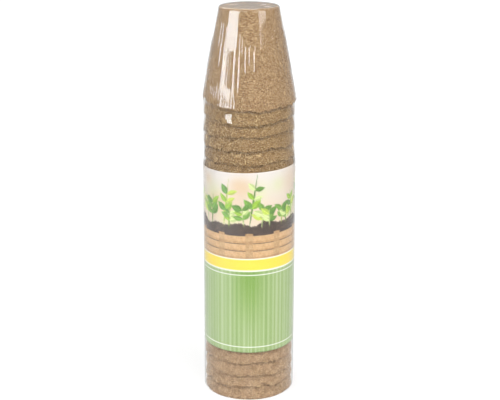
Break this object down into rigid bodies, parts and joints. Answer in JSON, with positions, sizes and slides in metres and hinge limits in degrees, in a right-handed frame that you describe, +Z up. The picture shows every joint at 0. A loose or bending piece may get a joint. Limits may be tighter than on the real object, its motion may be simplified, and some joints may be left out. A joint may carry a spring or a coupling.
{
  "type": "stack of peat seedling pots",
  "caption": "Tall stack of small round tapered fibre seedling pots nested upside down, with a paper label band round the middle and a clear shrink film sleeve that holds the stack together.",
  "frame": {"origin": "centre of the lowest pot's rim, on the surface the stack stands on", "axes": "+Z up along the stack's axis, towards the pots' bases; -Y faces the front of the label band"},
  "size_m": [0.0616, 0.0616, 0.2624],
  "materials": {
    "peat_fibre": "matte pressed peat and wood fibre, warm tan with fine pale and dark fibres",
    "printed_paper": "smooth printed paper, cream and green",
    "clear_film": "clear glossy shrink film with fine wrinkles"
  },
  "bodies": {
    "pot_01": {"pot_01": "peat_fibre"},
    "pot_02": {"pot_02": "peat_fibre"},
    "pot_03": {"pot_03": "peat_fibre"},
    "pot_04": {"pot_04": "peat_fibre"},
    "pot_05": {"pot_05": "peat_fibre"},
    "pot_06": {"pot_06": "peat_fibre"},
    "pot_07": {"pot_07": "peat_fibre"},
    "pot_08": {"pot_08": "peat_fibre"},
    "pot_09": {"pot_09": "peat_fibre"},
    "pot_10": {"pot_10": "peat_fibre"},
    "pot_11": {"pot_11": "peat_fibre"},
    "pot_12": {"pot_12": "peat_fibre"},
    "pot_13": {"pot_13": "peat_fibre"},
    "pot_14": {"pot_14": "peat_fibre"},
    "pot_15": {"pot_15": "peat_fibre"},
    "pot_16": {"pot_16": "peat_fibre"},
    "pot_17": {"pot_17": "peat_fibre"},
    "pot_18": {"pot_18": "peat_fibre"},
    "pot_19": {"pot_19": "peat_fibre"},
    "pot_20": {"pot_20": "peat_fibre"},
    "pot_21": {"pot_21": "peat_fibre"},
    "pot_22": {"pot_22": "peat_fibre"},
    "pot_23": {"pot_23": "peat_fibre"},
    "pot_24": {"pot_24": "peat_fibre"},
    "wrap": {"film_wrap": "clear_film", "label_band": "printed_paper"}
  },
  "joints": [
    {"name": "pot_02_lift", "type": "slide", "parent": "pot_01", "child": "pot_02", "axis": [0, 0, 1], "range_m": [0, 0.063]},
    {"name": "pot_03_lift", "type": "slide", "parent": "pot_02", "child": "pot_03", "axis": [0, 0, 1], "range_m": [0, 0.063]},
    {"name": "pot_04_lift", "type": "slide", "parent": "pot_03", "child": "pot_04", "axis": [0, 0, 1], "range_m": [0, 0.063]},
    {"name": "pot_05_lift", "type": "slide", "parent": "pot_04", "child": "pot_05", "axis": [0, 0, 1], "range_m": [0, 0.063]},
    {"name": "pot_06_lift", "type": "slide", "parent": "pot_05", "child": "pot_06", "axis": [0, 0, 1], "range_m": [0, 0.063]},
    {"name": "pot_07_lift", "type": "slide", "parent": "pot_06", "child": "pot_07", "axis": [0, 0, 1], "range_m": [0, 0.063]},
    {"name": "pot_08_lift", "type": "slide", "parent": "pot_07", "child": "pot_08", "axis": [0, 0, 1], "range_m": [0, 0.063]},
    {"name": "pot_09_lift", "type": "slide", "parent": "pot_08", "child": "pot_09", "axis": [0, 0, 1], "range_m": [0, 0.063]},
    {"name": "pot_10_lift", "type": "slide", "parent": "pot_09", "child": "pot_10", "axis": [0, 0, 1], "range_m": [0, 0.063]},
    {"name": "pot_11_lift", "type": "slide", "parent": "pot_10", "child": "pot_11", "axis": [0, 0, 1], "range_m": [0, 0.063]},
    {"name": "pot_12_lift", "type": "slide", "parent": "pot_11", "child": "pot_12", "axis": [0, 0, 1], "range_m": [0, 0.063]},
    {"name": "pot_13_lift", "type": "slide", "parent": "pot_12", "child": "pot_13", "axis": [0, 0, 1], "range_m": [0, 0.063]},
    {"name": "pot_14_lift", "type": "slide", "parent": "pot_13", "child": "pot_14", "axis": [0, 0, 1], "range_m": [0, 0.063]},
    {"name": "pot_15_lift", "type": "slide", "parent": "pot_14", "child": "pot_15", "axis": [0, 0, 1], "range_m": [0, 0.063]},
    {"name": "pot_16_lift", "type": "slide", "parent": "pot_15", "child": "pot_16", "axis": [0, 0, 1], "range_m": [0, 0.063]},
    {"name": "pot_17_lift", "type": "slide", "parent": "pot_16", "child": "pot_17", "axis": [0, 0, 1], "range_m": [0, 0.063]},
    {"name": "pot_18_lift", "type": "slide", "parent": "pot_17", "child": "pot_18", "axis": [0, 0, 1], "range_m": [0, 0.063]},
    {"name": "pot_19_lift", "type": "slide", "parent": "pot_18", "child": "pot_19", "axis": [0, 0, 1], "range_m": [0, 0.063]},
    {"name": "pot_20_lift", "type": "slide", "parent": "pot_19", "child": "pot_20", "axis": [0, 0, 1], "range_m": [0, 0.063]},
    {"name": "pot_21_lift", "type": "slide", "parent": "pot_20", "child": "pot_21", "axis": [0, 0, 1], "range_m": [0, 0.063]},
    {"name": "pot_22_lift", "type": "slide", "parent": "pot_21", "child": "pot_22", "axis": [0, 0, 1], "range_m": [0, 0.063]},
    {"name": "pot_23_lift", "type": "slide", "parent": "pot_22", "child": "pot_23", "axis": [0, 0, 1], "range_m": [0, 0.063]},
    {"name": "pot_24_lift", "type": "slide", "parent": "pot_23", "child": "pot_24", "axis": [0, 0, 1], "range_m": [0, 0.063]},
    {"name": "wrap_lift", "type": "slide", "parent": "pot_24", "child": "wrap", "axis": [0, 0, 1], "range_m": [0, 0.265]}
  ]
}
